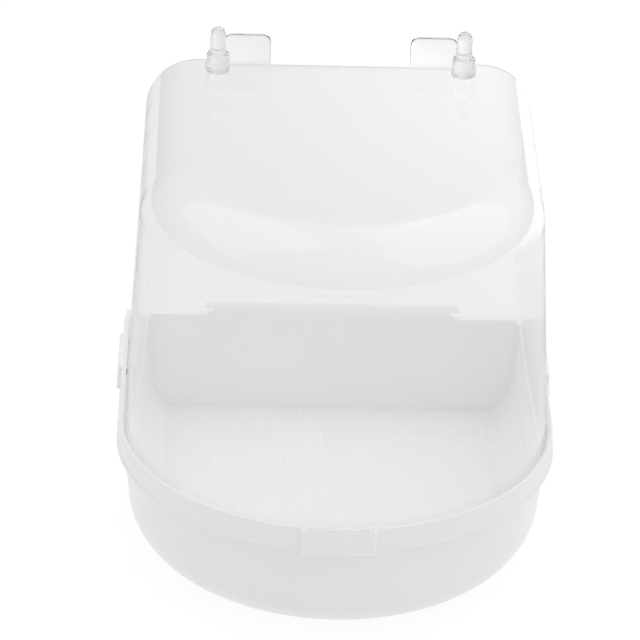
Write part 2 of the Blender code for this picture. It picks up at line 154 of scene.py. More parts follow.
def tent_world():
    """Soft light from all round, stronger from overhead, and white paper for the eye."""
    world = bpy.data.worlds.new("light_tent")
    world.use_nodes = True
    tree = world.node_tree
    tree.nodes.clear()
    direction = node(tree, "ShaderNodeTexCoord").outputs["Generated"]
    toward = node(tree, "ShaderNodeSeparateXYZ", {0: direction}).outputs
    level = TENT
    for axis, extra in (("X", TENT_RIGHT), ("Z", TENT_TOP)):
        part = node(tree, "ShaderNodeMapRange",
                    {"Value": toward[axis], "From Min": -TENT_REACH, "From Max": TENT_REACH,
                     "To Min": 0.0, "To Max": extra}, interpolation_type="SMOOTHSTEP")
        level = node(tree, "ShaderNodeMath", {0: level, 1: part.outputs[0]}).outputs[0]
    path = node(tree, "ShaderNodeLightPath").outputs
    direct = node(tree, "ShaderNodeMath",
                  {0: path["Is Camera Ray"], 1: path["Is Transmission Ray"]}, operation="MAXIMUM")
    seen = node(tree, "ShaderNodeMath", {0: direct.outputs[0], 1: path["Glossy Depth"]},
                operation="SUBTRACT", use_clamp=True)
    strength = node(tree, "ShaderNodeMix", {"Factor": seen.outputs[0], "A": level, "B": 1.0},
                    data_type="FLOAT")
    shade = node(tree, "ShaderNodeBackground",
                 {"Color": (1, 1, 1, 1), "Strength": strength.outputs[0]})
    node(tree, "ShaderNodeOutputWorld", {"Surface": shade.outputs[0]})
    bpy.context.scene.world = world


tent_world()
print("tent:", TENT, "and", TENT_TOP, "more overhead")

# %% [markdown]
# ## The paper floor
#
# The bath stands on white paper that runs out of sight. The paper lies on a light table, so light
# comes up through it too and fills the round underside of the bath. For the eye most of its white
# is a glow of its own, so it comes out as white as the backdrop and still keeps a soft shadow. The
# paper behind the bath, which shows through the hood, glows less on the left than on the right.

# %% Floor
PAPER = 0.20                 # how much light the paper gives back
TABLE_GLOW = 0.585           # light that comes up through it
SEEN_PAPER = 0.30            # what the eye sees of the paper, with the glow on top
SEEN_GLOW = 0.765
THROUGH_NEAR = 0.58          # glow seen through the hood, close behind the bath
THROUGH_LEFT = 0.585         # the same farther back, on the left and on the right
THROUGH_RIGHT = 1.02
NEAR_END = 0.08              # metres behind the middle of the bath
FAR_END = 0.40


def add_floor():
    """A wide sheet of white paper on a light table."""
    bm = bmesh.new()
    bmesh.ops.create_grid(bm, x_segments=1, y_segments=1, size=3.0)
    floor = add_object("paper_floor", bm)
    material, tree = fresh_material("white_paper")
    path = node(tree, "ShaderNodeLightPath").outputs
    direct = node(tree, "ShaderNodeMath",
                  {0: path["Is Camera Ray"], 1: path["Is Transmission Ray"]}, operation="MAXIMUM")
    seen = node(tree, "ShaderNodeMath", {0: direct.outputs[0], 1: path["Is Glossy Ray"]},
                operation="MAXIMUM")
    where = node(tree, "ShaderNodeTexCoord").outputs["Object"]
    place = node(tree, "ShaderNodeSeparateXYZ", {0: where}).outputs
    far = node(tree, "ShaderNodeMapRange",
               {"Value": place["X"], "From Min": -0.15, "From Max": 0.30,
                "To Min": THROUGH_LEFT, "To Max": THROUGH_RIGHT}, interpolation_type="SMOOTHSTEP")
    near = node(tree, "ShaderNodeMapRange",
                {"Value": place["Y"], "From Min": 0.0, "From Max": NEAR_END,
                 "To Min": SEEN_GLOW, "To Max": THROUGH_NEAR})
    behind = node(tree, "ShaderNodeMapRange",
                  {"Value": place["Y"], "From Min": NEAR_END, "From Max": FAR_END,
                   "To Min": near.outputs[0], "To Max": far.outputs[0]},
                  interpolation_type="SMOOTHSTEP")
    strength = node(tree, "ShaderNodeMix",
                    {"Factor": path["Is Camera Ray"], "A": behind.outputs[0], "B": SEEN_GLOW},
                    data_type="FLOAT")
    paper = node(tree, "ShaderNodeBsdfDiffuse", {"Color": (PAPER, PAPER, PAPER, 1)})
    table = node(tree, "ShaderNodeEmission", {"Color": (1, 1, 1, 1), "Strength": TABLE_GLOW})
    plain = node(tree, "ShaderNodeAddShader", {0: paper.outputs[0], 1: table.outputs[0]})
    dim = node(tree, "ShaderNodeBsdfDiffuse", {"Color": (SEEN_PAPER, SEEN_PAPER, SEEN_PAPER, 1)})
    glow = node(tree, "ShaderNodeEmission",
                {"Color": (1, 1, 1, 1), "Strength": strength.outputs[0]})
    lit = node(tree, "ShaderNodeAddShader", {0: dim.outputs[0], 1: glow.outputs[0]})
    mix = node(tree, "ShaderNodeMixShader",
               {0: seen.outputs[0], 1: plain.outputs[0], 2: lit.outputs[0]})
    node(tree, "ShaderNodeOutputMaterial", {"Surface": mix.outputs[0]})
    floor.data.materials.append(material)


add_floor()
print("floor: a table glow of", TABLE_GLOW, "for the light, and", SEEN_GLOW, "for the eye")

# %% [markdown]
# ## Two light panels overhead
#
# Two wide sheets of cloth, lit from behind, hang over the tent. They do little of the lighting.
# Their work is the pair of pale crescents that they draw on the hood's round shoulder, which tell
# the eye that it is clear and glossy. A sheet glows and lets the rest of the tent's light through.

# %% Overhead panels
PANEL_HEIGHT = 2.2           # this and the corners are in metres
LEFT_CORNERS = ((-3.2, 1.7), (-0.25, 2.2), (-0.12, -0.3), (-0.7, -0.8), (-2.3, -1.5), (-4.5, -2.6))
RIGHT_CORNERS = ((0.25, 0.35), (0.3, 3.4), (1.4, 2.3), (4.0, 2.2),
                 (6.0, 1.0), (5.5, -2.4), (2.0, -2.4), (0.7, -1.1))
LEFT_GLOW = 0.28
RIGHT_GLOW = 0.22


def add_panel(name, corners, radiance):
    """A flat sheet of glowing cloth overhead."""
    bm = bmesh.new()
    bm.faces.new([bm.verts.new((x, y, PANEL_HEIGHT)) for x, y in corners])
    panel = add_object(name, bm)
    material, tree = fresh_material("lit_cloth_" + name)
    glow = node(tree, "ShaderNodeEmission", {"Color": (1, 1, 1, 1), "Strength": radiance})
    sheer = node(tree, "ShaderNodeBsdfTransparent")
    both = node(tree, "ShaderNodeAddShader", {0: glow.outputs[0], 1: sheer.outputs[0]})
    node(tree, "ShaderNodeOutputMaterial", {"Surface": both.outputs[0]})
    panel.data.materials.append(material)
    print(name, "glows at", radiance)


add_panel("left_panel", LEFT_CORNERS, LEFT_GLOW)
add_panel("right_panel", RIGHT_CORNERS, RIGHT_GLOW)

# %% [markdown]
# ## Sizes
#
# The looks must lie on the CAD model, so the outer sizes come from its boxes. The shapes are worked
# out in millimetres with Y = 0 at the back face, as a drawing of the bath would have it.

# %% Sizes in millimetres
BASIN_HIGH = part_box("basin_tray")[1] / MM
HOOD_LOW, HOOD_HIGH = [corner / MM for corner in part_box("clear_hood")]
PEG_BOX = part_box("right_wire_peg")
PEG_HIGH = PEG_BOX[1] / MM
BACK_FACE = HOOD_HIGH.y
POCKET_PROUD = 1.7           # the rim's bulges stand this far out
RIM_HALF = BASIN_HIGH.x - POCKET_PROUD
STRAIGHT = 80.0              # the sides are straight this far, and then the front reaches out
REACH = 70.0
RIM_TOP = 43.3
RIM_BOTTOM = 35.1
RIM_STEP = 1.8
SEAT_Z = 38.2                # a tenth of a millimetre under the hood, so light gets between them
BACK_WALL = 2.8
BACK_WALL_TOP = 39.8
FLOOR_Z = 4.4
BOTTOM_ROUND = 19.5
BASIN_WALL = 1.8
BASIN_DRAFT = 0.10
BEYOND = 6.0                 # cutters run this far past the faces that they open
ARC_STEPS = 180
SIDE_STEPS = 10
print("half width of the rim:", round(RIM_HALF, 2), "mm, back face at Y", round(BACK_FACE, 2), "mm")

# %% [markdown]
# ## Building in mesh code
#
# Both mouldings are D-shaped in plan, and change a little from one height to the next. Stacking
# outlines of equal count and stretching a skin between them makes such a shape. Small shapes are
# outlines pushed along one axis. Real mouldings have no sharp corners, so a helper eases the
# corners of an outline before it is pushed.

# %% Outlines
def d_outline(inset, back, front_inset=None):
    """The D in plan, from its right back corner round the front to its left back corner."""
    half = RIM_HALF - inset
    reach = REACH - (inset if front_inset is None else front_inset)
    side = [(half, back + (-STRAIGHT - back) * i / SIDE_STEPS) for i in range(SIDE_STEPS)]
    arc = [pi * i / ARC_STEPS for i in range(ARC_STEPS + 1)]
    front = [(half * cos(a), -STRAIGHT - reach * sin(a)) for a in arc]
    return side + front + [(-x, y) for x, y in reversed(side)]


def eased(points, radii, steps=6):
    """The same outline with a short curve in place of each corner that has a radius."""
    out = []
    for i, (corner, radius) in enumerate(zip(points, radii)):
        if radius == 0:
            out.append(corner)
            continue
        here = Vector(corner)
        others = [Vector(points[(i + step) % len(points)]) for step in (-1, 1)]
        legs = [(other - here).normalized() for other in others]
        turn = pi - legs[0].angle(legs[1])
        start, end = [here + leg * radius * tan(turn / 2) for leg in legs]
        for j in range(steps + 1):
            t = j / steps
            out.append(tuple(start * (1 - t) ** 2 + here * 2 * t * (1 - t) + end * t ** 2))
    return out


def quarter(steps):
    """Angles of a quarter turn."""
    return [pi / 2 * i / steps for i in range(steps + 1)]


print("points in one D:", len(d_outline(0.0, 0.0)))

# %% Solids from outlines
AXES = {"X": lambda u, v, w: (w, u, v),
        "Y": lambda u, v, w: (u, w, v),
        "Z": lambda u, v, w: (u, v, w)}


def new_object(name, bm):
    """An object from a bmesh in millimetres, facing out."""
    bmesh.ops.recalc_face_normals(bm, faces=bm.faces)
    bmesh.ops.transform(bm, matrix=Matrix.Scale(MM, 4), verts=bm.verts)
    return add_object(name, bm)


def skin(bm, rings):
    """Faces between neighbouring rings of points."""
    for low, high in zip(rings, rings[1:]):
        for i in range(len(low)):
            j = (i + 1) % len(low)
            bm.faces.new((low[i], low[j], high[j], high[i]))


def loft(name, sections, axis="Z"):
    """A closed solid through outlines along one axis; they lie in the other two, in order."""
    bm = bmesh.new()
    rings = [[bm.verts.new(AXES[axis](u, v, w)) for u, v in outline] for outline, w in sections]
    skin(bm, rings)
    bm.faces.new(rings[0])
    bm.faces.new(rings[-1])
    return new_object(name, bm)


def prism(name, outline, low, high, axis="Z"):
    """One outline pushed along an axis."""
    return loft(name, [(outline, low), (outline, high)], axis)


def revolve(name, profile, steps):
    """A solid of revolution round Z from (radius, height) points, from the axis to the axis."""
    bm = bmesh.new()
    verts = [bm.verts.new((r, 0, z)) for r, z in profile]
    edges = [bm.edges.new(pair) for pair in zip(verts, verts[1:])]
    bmesh.ops.spin(bm, geom=verts + edges, cent=(0, 0, 0), axis=(0, 0, 1), angle=2 * pi,
                   steps=steps)
    bmesh.ops.remove_doubles(bm, verts=bm.verts, dist=0.001)
    return new_object(name, bm)


# %% Joining, cutting and placing solids
WELD = 0.000002              # metres; points closer than this are one point


def combine(target, tool, operation):
    """Join, cut or clip the target with a tool, which is used up."""
    modifier = target.modifiers.new("combine", "BOOLEAN")
    modifier.operation = operation
    modifier.solver = "EXACT"
    modifier.object = tool
    depsgraph = bpy.context.evaluated_depsgraph_get()
    target.data = bpy.data.meshes.new_from_object(target.evaluated_get(depsgraph))
    target.modifiers.clear()
    bpy.data.objects.remove(tool)
    return target


def shift(obj, x, y, turn=0.0):
    """Turn an object's mesh about Z and set it down at a place in plan."""
    obj.data.transform(Matrix.Translation((x * MM, y * MM, 0)) @ Matrix.Rotation(turn, 4, "Z"))
    return obj


def together(name, objects):
    """One object from several that don't touch."""
    bm = bmesh.new()
    for obj in objects:
        bm.from_mesh(obj.data)
        bpy.data.objects.remove(obj)
    return add_object(name, bm)


def settle(obj, material, body, node_name, smooth_angle):
    """Set a finished piece in its place, give it its material and let it ride on its body."""
    shift(obj, 0, BACK_FACE)
    bm = bmesh.new()
    bm.from_mesh(obj.data)
    bmesh.ops.remove_doubles(bm, verts=bm.verts, dist=WELD)
    bmesh.ops.dissolve_degenerate(bm, edges=bm.edges, dist=WELD)
    bmesh.ops.recalc_face_normals(bm, faces=bm.faces)
    bm.to_mesh(obj.data)
    bm.free()
    obj.data.shade_smooth()
    obj.data.set_sharp_from_angle(angle=radians(smooth_angle))
    obj.data.materials.clear()
    obj.data.materials.append(material)
    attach(obj, body)
    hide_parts(node_name)
    print(obj.name, "has", len(obj.data.vertices), "points")


# %% [markdown]
# ## White polypropylene, injection moulded
#
# The basin is moulded in white polypropylene. The mould has a fine satin texture, which comes out
# as a soft gloss without clear reflections. The melt leaves faint clouds as it flows, and handling
# leaves a few hairlines and a slight polish on the outer edges. Each is far weaker than it sounds,
# and together they keep the white from looking like paint on a screen.

# %% Satin white
SATIN_GRAIN = 0.5            # mm; real spark texture is nearer 0.05, too fine to show
GRAIN_DEPTH = 0.001          # mm
SATIN_GLOSS = (0.25, 0.27)   # roughness, from the peaks of the grain to its hollows
CLOUD = 28.0                 # mm
HAIRLINE = 0.35              # mm across a hairline on the basin
EDGE_POLISH = 0.08           # how much less rough the outer edges are


def hairlines(tree, where, width, stretch, cut):
    """A mask of faint straight marks: stretched noise, of which only the peaks are kept."""
    long = node(tree, "ShaderNodeMapping",
                {"Vector": where, "Rotation": (0.3, 0.5, 0.7), "Scale": (1.0, 1.0 / stretch, 1.0)})
    streaks = node(tree, "ShaderNodeTexNoise",
                   {"Vector": long.outputs[0], "Scale": 1 / (width * MM), "Detail": 1.0,
                    "Roughness": 0.4})
    peaks = node(tree, "ShaderNodeMapRange",
                 {"Value": streaks.outputs["Fac"], "From Min": cut, "From Max": cut + 0.08})
    return peaks.outputs[0]


def satin_white():
    """White polypropylene with satin grain, flow clouds, hairlines and polished edges."""
    material, tree = fresh_material("white_polypropylene_moulded")
    where = node(tree, "ShaderNodeTexCoord").outputs["Object"]
    clouds = node(tree, "ShaderNodeTexNoise",
                  {"Vector": where, "Scale": 1 / (CLOUD * MM), "Detail": 3.0, "Distortion": 0.6})
    colour = node(tree, "ShaderNodeMix",
                  {"Factor": clouds.outputs["Fac"], "A": linear("F9F9F9"), "B": linear("FCFCFB")},
                  data_type="RGBA")
    grain = node(tree, "ShaderNodeTexNoise",
                 {"Vector": where, "Scale": 1 / (SATIN_GRAIN * MM), "Detail": 2.0})
    marks = hairlines(tree, where, HAIRLINE, stretch=60.0, cut=0.70)
    rough = node(tree, "ShaderNodeMapRange",
                 {"Value": grain.outputs["Fac"], "From Min": 0.3, "From Max": 0.7,
                  "To Min": SATIN_GLOSS[0], "To Max": SATIN_GLOSS[1]})
    scuffed = node(tree, "ShaderNodeMath", {0: marks, 1: 0.06, 2: rough.outputs[0]},
                   operation="MULTIPLY_ADD")
    sharp = node(tree, "ShaderNodeNewGeometry").outputs["Pointiness"]
    edge = node(tree, "ShaderNodeMapRange",
                {"Value": sharp, "From Min": 0.52, "From Max": 0.60,
                 "To Min": 0.0, "To Max": -EDGE_POLISH})
    polished = node(tree, "ShaderNodeMath", {0: scuffed.outputs[0], 1: edge.outputs[0]})
    bump = node(tree, "ShaderNodeBump",
                {"Strength": 0.5, "Distance": GRAIN_DEPTH * MM, "Height": grain.outputs["Fac"]})
    shader = node(tree, "ShaderNodeBsdfPrincipled",
                  {"Base Color": colour.outputs["Result"], "Roughness": polished.outputs[0],
                   "IOR": 1.49, "Normal": bump.outputs[0]})
    node(tree, "ShaderNodeOutputMaterial", {"Surface": shader.outputs[0]})
    return material


satin = satin_white()
print(satin.name, "with", len(satin.node_tree.nodes), "nodes")

# %% [markdown]
# ## Clear polystyrene, injection moulded
#
# The hood and the pegs are polystyrene. It bends light strongly, so its edges draw dark and bright
# lines. The hood comes out of polished steel and is glass clear. The sheet is never quite flat: it
# waves by hundredths of a millimetre, and wiping leaves hairlines. The pegs come out of duller
# steel and are a little milky. Light for the shadows and for matt surfaces passes straight through,
# because bent light can't be traced back to a lamp. So does light that has been bent many times,
# which would get lost in the sheet otherwise.

# %% Clear plastic
WAVE = 16.0                  # mm from one wave of the sheet to the next
WAVE_DEPTH = 0.03            # mm
WIPE_MARK = 0.3              # mm across a hairline on the clear parts
CLEAR_IOR = 1.59
LAST_BEND = 6.5              # light that has been bent this often goes on in a straight line


def clear_plastic(name, tint, clearness, roughness, pane):
    """Clear polystyrene; the pane is what it lets through where light passes straight."""
    material, tree = fresh_material(name)
    where = node(tree, "ShaderNodeTexCoord").outputs["Object"]
    wave = node(tree, "ShaderNodeTexNoise",
                {"Vector": where, "Scale": 1 / (WAVE * MM), "Detail": 1.0})
    marks = hairlines(tree, where, WIPE_MARK, stretch=90.0, cut=0.74)
    gloss = node(tree, "ShaderNodeMapRange",
                 {"Value": wave.outputs["Fac"], "From Min": 0.3, "From Max": 0.7,
                  "To Min": roughness[0], "To Max": roughness[1]})
    wiped = node(tree, "ShaderNodeMath", {0: marks, 1: 0.05, 2: gloss.outputs[0]},
                 operation="MULTIPLY_ADD")
    bump = node(tree, "ShaderNodeBump",
                {"Strength": 0.6, "Distance": WAVE_DEPTH * MM, "Height": wave.outputs["Fac"]})
    shader = node(tree, "ShaderNodeBsdfPrincipled",
                  {"Base Color": linear(tint), "Roughness": wiped.outputs[0], "IOR": CLEAR_IOR,
                   "Transmission Weight": clearness, "Normal": bump.outputs[0]})
    path = node(tree, "ShaderNodeLightPath").outputs
    through = node(tree, "ShaderNodeBsdfTransparent", {"Color": (pane, pane, pane, 1)})
    late = node(tree, "ShaderNodeMath", {0: path["Ray Depth"], 1: LAST_BEND},
                operation="GREATER_THAN")
    straight = node(tree, "ShaderNodeMath", {0: path["Is Diffuse Ray"], 1: late.outputs[0]},
                    operation="MAXIMUM")
    soft = node(tree, "ShaderNodeMixShader",
                {0: straight.outputs[0], 1: shader.outputs[0], 2: through.outputs[0]})
    mix = node(tree, "ShaderNodeMixShader",
               {0: path["Is Shadow Ray"], 1: soft.outputs[0], 2: through.outputs[0]})
    node(tree, "ShaderNodeOutputMaterial", {"Surface": mix.outputs[0]})
    return material


hood_plastic = clear_plastic("clear_polystyrene_hood", tint="F9F9F9", clearness=1.0,
                             roughness=(0.012, 0.03), pane=1.0)
peg_plastic = clear_plastic("clear_polystyrene_pegs", tint="F8F8F7", clearness=0.93,
                            roughness=(0.23, 0.28), pane=0.96)
print(hood_plastic.name, "with", len(hood_plastic.node_tree.nodes), "nodes")

# %% [markdown]
# ## The basin's body
#
# A water basin with one round corner between its walls and its underside, and a rim that stands out
# round the top. The outside is one stack of D outlines. Just under the rim the stack swings out in
# a hollow curve, as the mould maker's cutter leaves it. A small bead runs along the rim's lower
# edge. It stiffens the rim and draws a fine light line round it.

# %% Body and rim
BACK_EDGE_ROUND = 3.0
STEP_FILLET = 1.75
BEAD = 0.5                   # half the bead's height
BEAD_PROUD = 0.5
BEAD_TURN = [radians(angle) for angle in range(-90, 91, 22)]
RIM_UPPER_ROUND = 0.45
BODY_STEPS = 16


def wall_inset(z, rounding):
    """How far the basin's surface lies inside the rim at a height, outside or inside the wall."""
    leaned = RIM_STEP + (RIM_BOTTOM - max(z, BOTTOM_ROUND)) * BASIN_DRAFT
    drop = max(0.0, BOTTOM_ROUND - z)
    return leaned + BOTTOM_ROUND - sqrt(rounding ** 2 - min(drop, rounding) ** 2)


def basin_body():
    """The body from its flat foot to the middle of the rim."""
    sections = []
    for a in quarter(BODY_STEPS):
        z = BOTTOM_ROUND * (1 - cos(a))
        drop = max(0.0, BACK_EDGE_ROUND - z)
        back = sqrt(BACK_EDGE_ROUND ** 2 - drop ** 2) - BACK_EDGE_ROUND
        sections.append((d_outline(wall_inset(z, BOTTOM_ROUND), back), z))
    for a in quarter(4):
        z = RIM_BOTTOM - STEP_FILLET * (1 - sin(a))
        inset = wall_inset(z, BOTTOM_ROUND) - STEP_FILLET * (1 - cos(a))
        sections.append((d_outline(inset, 0.0), z))
    sections.append((d_outline(RIM_STEP - STEP_FILLET, 0.0), RIM_BOTTOM + 2.0))
    return loft("basin_body", sections)


def rim_band():
    """The rim, with a bead along its lower edge and a rounded upper edge."""
    low = [(-BEAD_PROUD * cos(a), RIM_BOTTOM + BEAD * (1 + sin(a))) for a in BEAD_TURN]
    high = [(RIM_UPPER_ROUND * (1 - cos(a)), RIM_TOP - RIM_UPPER_ROUND * (1 - sin(a)))
            for a in quarter(4)]
    return loft("rim_band", [(d_outline(inset, 0.0), z) for inset, z in low + high])


basin = combine(basin_body(), rim_band(), "UNION")
print("body and rim:", len(basin.data.vertices), "points")

# %% [markdown]
# ## Three pockets in the rim
#
# The hood holds on by three tongues, one at the front and one at each side. The rim bulges out
# round each of them. A bulge is soft: its front corners are round and its ends run into the rim in
# small hollow curves. Its lower edge has a bead like the rim's. Each bulge is a stack of outlines.
# It is built at the origin and then turned to its place.

# %% Bulges
POCKET_HALF = 12.25          # half the length of a bulge along the rim
POCKET_SIDE_Y = -35.6        # middle of the two side pockets
BULGE_LOW = 0.3              # how far a bulge hangs below the rim
BULGE_ROUND = 0.5
BULGE_FOOT = 2.2             # length over which the ends run into the rim
HOOD_INSET = 1.9
POCKET_INSIDE = 1.9


def pocket_places():
    """Middle of the rim's outside at each pocket, with the turn that takes -Y to its outside."""
    return ((0.0, -(STRAIGHT + REACH), 0.0), (RIM_HALF, POCKET_SIDE_Y, pi / 2),
            (-RIM_HALF, POCKET_SIDE_Y, -pi / 2))


def bulge_outline(half, front, bow):
    """A bulge in plan: round corners in front, and hollow curves where its ends leave the rim."""
    foot = half + BULGE_FOOT
    falls = [bow * (1 - sqrt(1 - (x / RIM_HALF) ** 2)) for x in (half, foot)]
    deep = falls[0] - front
    right = [(half, front), (half, falls[0]), (foot, falls[1] + 0.12), (foot, POCKET_INSIDE)]
    outline = [(-x, y) for x, y in reversed(right)] + right
    return eased(outline, [r * deep for r in (0, 0, 0.26, 0.70, 0.70, 0.26, 0, 0)], steps=7)


def bulge(bow):
    """One bulge at the origin, proud towards -Y, on a rim that bows back at its ends."""
    half, face = POCKET_HALF - BEAD_PROUD, BEAD_PROUD - POCKET_PROUD
    sections = []
    for a in BEAD_TURN:
        proud = BEAD_PROUD * cos(a)
        outline = bulge_outline(half + proud, face - proud, bow)
        sections.append((outline, RIM_BOTTOM - BULGE_LOW + BEAD * (1 + sin(a))))
    for a in quarter(5):
        less = BULGE_ROUND * (1 - cos(a))
        outline = bulge_outline(half - less, face + less, bow)
        sections.append((outline, RIM_TOP - BULGE_ROUND * (1 - sin(a))))
    return loft("bulge", sections)


bulges = [shift(bulge(bow), *place) for bow, place in zip((REACH, 0, 0), pocket_places())]
combine(basin, together("bulges", bulges), "UNION")
print("with bulges:", len(basin.data.vertices), "points")

# %% [markdown]
# ## The ribbed floor
#
# A smooth wet floor is slippery for a bird, so the floor carries a square grid of low, soft ribs.
# They are moulded by shallow grooves in the steel. Here the floor is a field of heights, with its
# points gathered round each rib. The room for the water takes this field as its underside and is
# then cut out of the body.

# %% Floor with soft ribs
RIB_PITCH = 15.5
RIB_FIRST = 16.6
RIB_HALF_WIDTH = 0.7
RIB_HEIGHT = 0.12
RIB_END = 1.5                # the ribs end this far inside the flat of the floor
RIB_FADE = 3.0               # and fade over this length
FLOOR_STEPS = 48


def rib_rise(distance):
    """Height of one rib at a distance from its middle."""
    return RIB_HEIGHT * (1 + cos(pi * min(abs(distance) / RIB_HALF_WIDTH, 1.0))) / 2


def rib_lines():
    """Where the ribs lie: X of those that run lengthwise, and Y of those that run across."""
    across = [-BACK_WALL - RIB_FIRST - RIB_PITCH * i for i in range(9)]
    return [RIB_PITCH * i for i in range(-4, 5)], across


def gathered(lines, low, high):
    """Coordinates from low to high, evenly apart but with nine of them on each line."""
    near = [line + RIB_HALF_WIDTH * k / 4 for line in lines for k in range(-4, 5)]
    even = [low + (high - low) * i / FLOOR_STEPS for i in range(FLOOR_STEPS + 1)]
    kept = [v for v in even if all(abs(v - line) > RIB_HALF_WIDTH + 0.4 for line in lines)]
    return sorted({round(v, 4) for v in near + kept if low <= v <= high})


def floor_height(x, y, lines, across):
    """Height of the floor, with the ribs fading out before the floor meets the walls."""
    inset = wall_inset(FLOOR_Z, BOTTOM_ROUND - BASIN_WALL) + RIB_END
    side = RIM_HALF - inset
    reach = REACH - inset
    depth = side - abs(x)
    if y < -STRAIGHT:
        depth = side * (1 - sqrt((x / side) ** 2 + ((y + STRAIGHT) / reach) ** 2))
    depth = min(depth, -BACK_WALL - RIB_END - y)
    fade = min(max(depth / RIB_FADE, 0.0), 1.0)
    rise = max([rib_rise(x - line) for line in lines] + [rib_rise(y - line) for line in across])
    return FLOOR_Z + rise * fade


def water_column():
    """A block whose underside is the ribbed floor."""
    lines, across = rib_lines()
    xs = gathered(lines, -RIM_HALF, RIM_HALF)
    ys = gathered(across, -STRAIGHT - REACH, BEYOND)
    bm = bmesh.new()
    grid = [[bm.verts.new((x, y, floor_height(x, y, lines, across))) for x in xs] for y in ys]
    for front, rear in zip(grid, grid[1:]):
        for i in range(len(xs) - 1):
            bm.faces.new((front[i], front[i + 1], rear[i + 1], rear[i]))
    roof = RIM_TOP + BEYOND
    corners = [bm.verts.new((x, y, roof)) for x, y in
               ((xs[0], ys[0]), (xs[-1], ys[0]), (xs[-1], ys[-1]), (xs[0], ys[-1]))]
    left = [row[0] for row in grid]
    right = [row[-1] for row in grid]
    bm.faces.new(corners)
    bm.faces.new(grid[0] + [corners[1], corners[0]])
    bm.faces.new(right + [corners[2], corners[1]])
    bm.faces.new(grid[-1][::-1] + [corners[3], corners[2]])
    bm.faces.new(left[::-1] + [corners[0], corners[3]])
    return new_object("water_column", bm)


# %% Room for the water
INNER_CORNER = 1.2
SEAT_EASE = 0.4
UNDER_FLOOR = 1.4            # the walls' stack starts this far under the floor


def inner_outline(inset):
    """The D inside the walls, with a small rounding in its two back corners."""
    half = RIM_HALF - inset
    turn = quarter(6)
    right = [(half - INNER_CORNER * (1 - sin(a)), -BACK_WALL - INNER_CORNER * (1 - cos(a)))
             for a in turn]
    middle = d_outline(inset, -BACK_WALL - INNER_CORNER)[1:-1]
    return right + middle + [(-x, y) for x, y in reversed(right)]


def water_room():
    """The cavity: walls parallel to the outside down to the floor, eased at the seat's edge."""
    rounding = BOTTOM_ROUND - BASIN_WALL
    climb = BOTTOM_ROUND - FLOOR_Z + UNDER_FLOOR
    heights = [FLOOR_Z - UNDER_FLOOR + climb * i / BODY_STEPS for i in range(BODY_STEPS + 1)]
    levels = [(wall_inset(z, rounding), z) for z in heights + [RIM_BOTTOM]]
    top = wall_inset(RIM_BOTTOM, rounding)
    levels += [(top - SEAT_EASE * (1 - cos(a)), SEAT_Z - SEAT_EASE * (1 - sin(a)))
               for a in quarter(3)]
    levels.append((top - SEAT_EASE, RIM_TOP + BEYOND))
    return loft("water_room", [(inner_outline(inset), z) for inset, z in levels])


combine(basin, combine(water_room(), water_column(), "INTERSECT"), "DIFFERENCE")
print("with the water's room:", len(basin.data.vertices), "points")

# %% [markdown]
# ## The seat behind the lip
#
# The hood drops in behind the lip and stands on a narrow seat. The lip's top slopes inwards, so
# splashes run back into the bath. The front pocket is open above, and shows as a slot behind the
# bulge. At the back the lip slopes down to the height of the back wall, where the bird comes in.

# %% Channel, pockets' rooms and lip ends
CHANNEL_INSET = 1.6
CHANNEL_INNER = 5.0
LIP_SLOPE = 0.9              # how much lower the lip's inner edge is
POCKET_WALL = 1.2
POCKET_END = 2.0             # a bulge goes on this far past the room inside it
POCKET_ROOF = 1.4
POCKET_SLOPE = 0.55          # how far the top of the open pocket's wall slopes
LIP_END = (-13.0, -8.0)      # where the lip leaves its full height and where it is down
BACK_WALL_EASE = 0.6


def seat_channel():
    """Room for the hood's lower edge, wider at its top where the lip slopes."""
    crest = RIM_UPPER_ROUND + 0.1
    points = [(CHANNEL_INSET, SEAT_Z), (CHANNEL_INSET, RIM_TOP - LIP_SLOPE), (crest, RIM_TOP),
              (crest, RIM_TOP + BEYOND)]
    sections = [(d_outline(inset, BEYOND) + d_outline(CHANNEL_INNER, BEYOND)[::-1], z)
                for inset, z in eased(points, [0, 0.3, 0.1, 0])]
    return loft("seat_channel", sections)


def pocket_outline(more):
    """The room for a tongue in plan; near its top it can be wider."""
    half, front = POCKET_HALF - POCKET_END + more, POCKET_WALL - POCKET_PROUD - more
    back = CHANNEL_INNER - 0.3
    points = [(-half - 0.8, back), (-half, front), (half, front), (half + 0.8, back)]
    return eased(points, [0, 0.8, 0.8, 0], steps=8)


def pocket_room(is_open):
    """Room for one tongue, behind the bulge's own wall, with or without a roof."""
    levels = [(0.0, SEAT_Z), (0.0, RIM_TOP - POCKET_ROOF)]
    if is_open:
        levels[1:] = [(0.0, RIM_TOP - LIP_SLOPE), (POCKET_SLOPE, RIM_TOP),
                      (POCKET_SLOPE, RIM_TOP + BEYOND)]
    return loft("pocket_room", [(pocket_outline(more), z) for more, z in levels])


def over_back_wall():
    """All that is cut away over the back wall, whose top edges are rounded."""
    low = BACK_WALL_TOP - BACK_WALL_EASE
    points = [(BEYOND, RIM_TOP + BEYOND), (BEYOND, low), (0.0, low), (0.0, BACK_WALL_TOP),
              (-BACK_WALL, BACK_WALL_TOP), (-BACK_WALL, low), (-BACK_WALL - 1.0, low),
              (-BACK_WALL - 1.0, RIM_TOP + BEYOND)]
    outline = eased(points, [0, 0, 0, BACK_WALL_EASE, BACK_WALL_EASE, 0, 0, 0], steps=5)
    half = RIM_HALF - CHANNEL_INNER + 0.3
    return prism("over_back_wall", outline, -half, half, "X")


